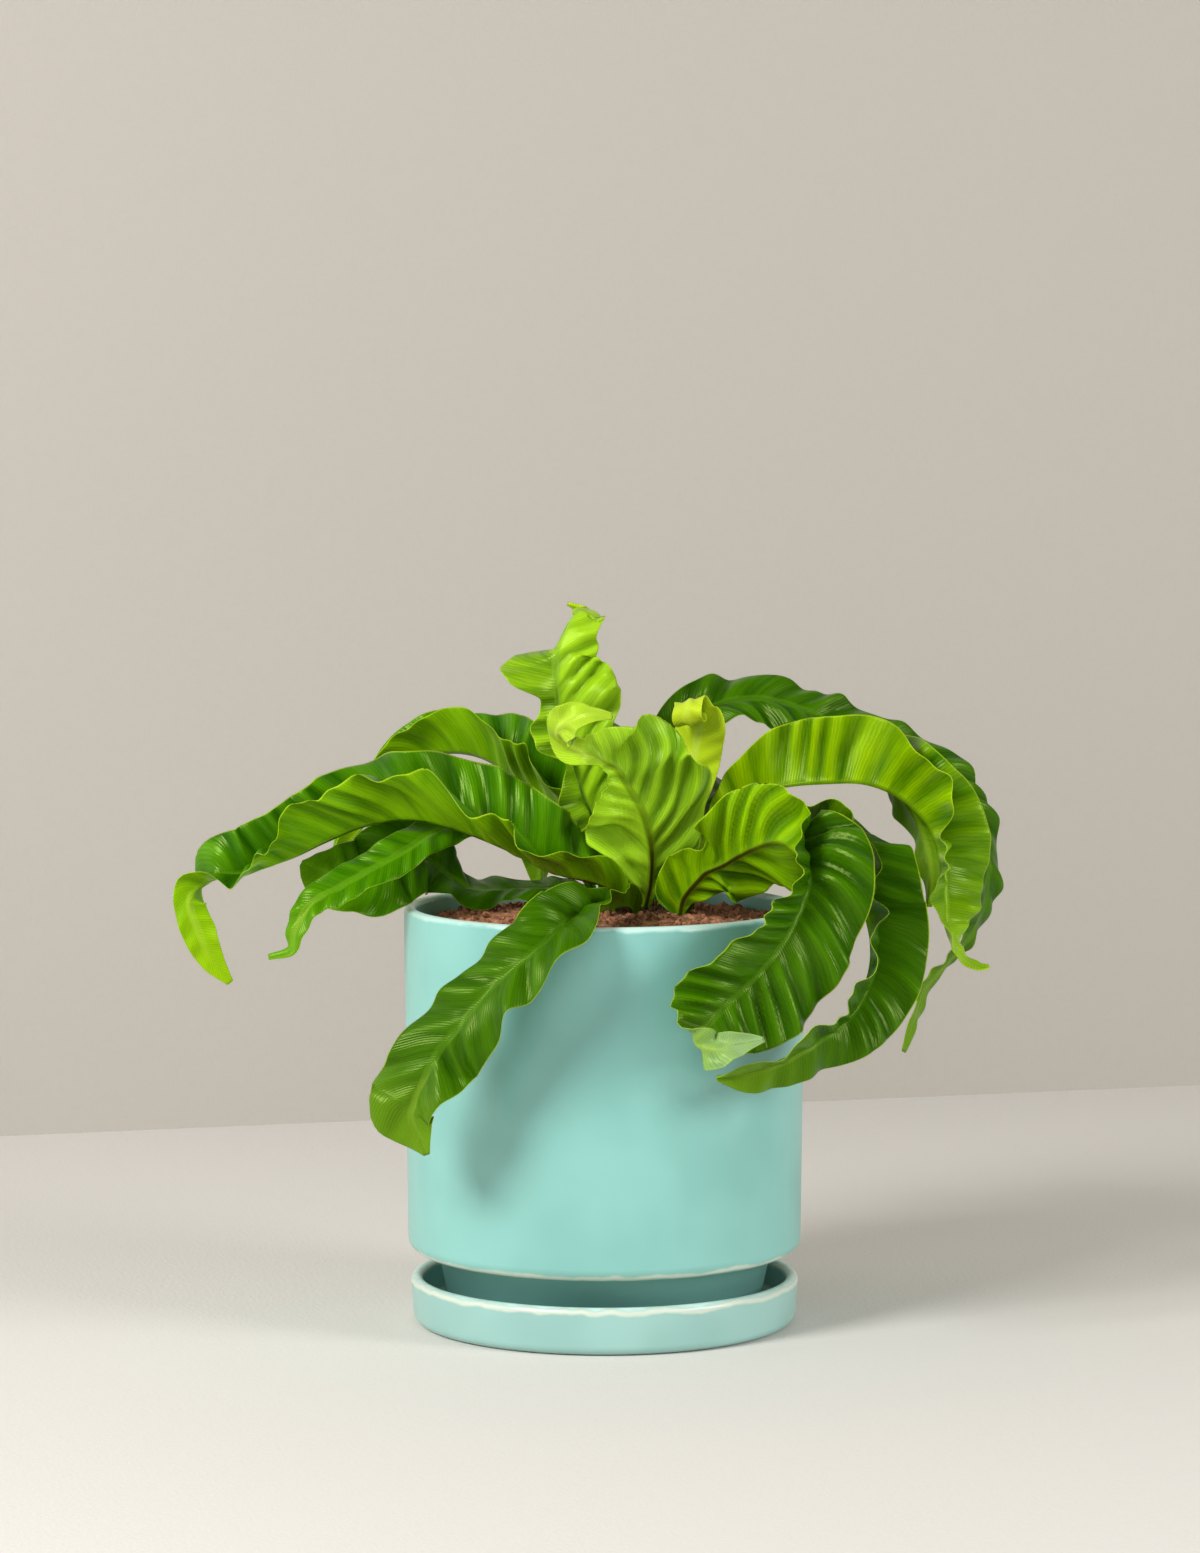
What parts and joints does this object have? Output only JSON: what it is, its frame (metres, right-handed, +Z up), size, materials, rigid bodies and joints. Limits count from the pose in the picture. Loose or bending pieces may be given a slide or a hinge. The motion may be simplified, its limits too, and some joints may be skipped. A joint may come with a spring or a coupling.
{
  "type": "potted fern",
  "caption": "Bird's nest fern of the crinkled, curling hurricane form, with wavy strap fronds arching from a short rhizome, in a straight-sided glazed pot that stands on its saucer.",
  "frame": {"origin": "middle of the saucer's flat underside, where the part rests", "axes": "+Z up along the pot's axis, +X to the right and -Y towards the viewer as the picture shows the plant"},
  "size_m": [0.3418, 0.2543, 0.2965],
  "materials": {
    "glaze": "satin pale aqua glaze",
    "soil": "coarse damp potting mix of bark and peat",
    "rhizome": "matte, scaly and fibrous",
    "leaf": "glossy above, satin below",
    "young_leaf": "satin yellow-green"
  },
  "bodies": {
    "root": {"saucer": "glaze", "pot": "glaze", "soil": "soil", "rhizome": "rhizome", "frond_front_left": "leaf", "frond_long_left": "leaf", "frond_low_left": "leaf", "frond_rim_left": "leaf", "frond_upper_left": "leaf", "frond_upright": "leaf", "frond_centre_curled": "leaf", "frond_young_scroll": "young_leaf", "frond_right_front": "leaf", "frond_right_crescent": "leaf", "frond_bright_arch": "leaf", "frond_long_right": "leaf", "frond_behind_right": "leaf", "frond_back_right": "leaf", "frond_back_centre": "leaf", "frond_back_left": "leaf"}
  },
  "joints": []
}
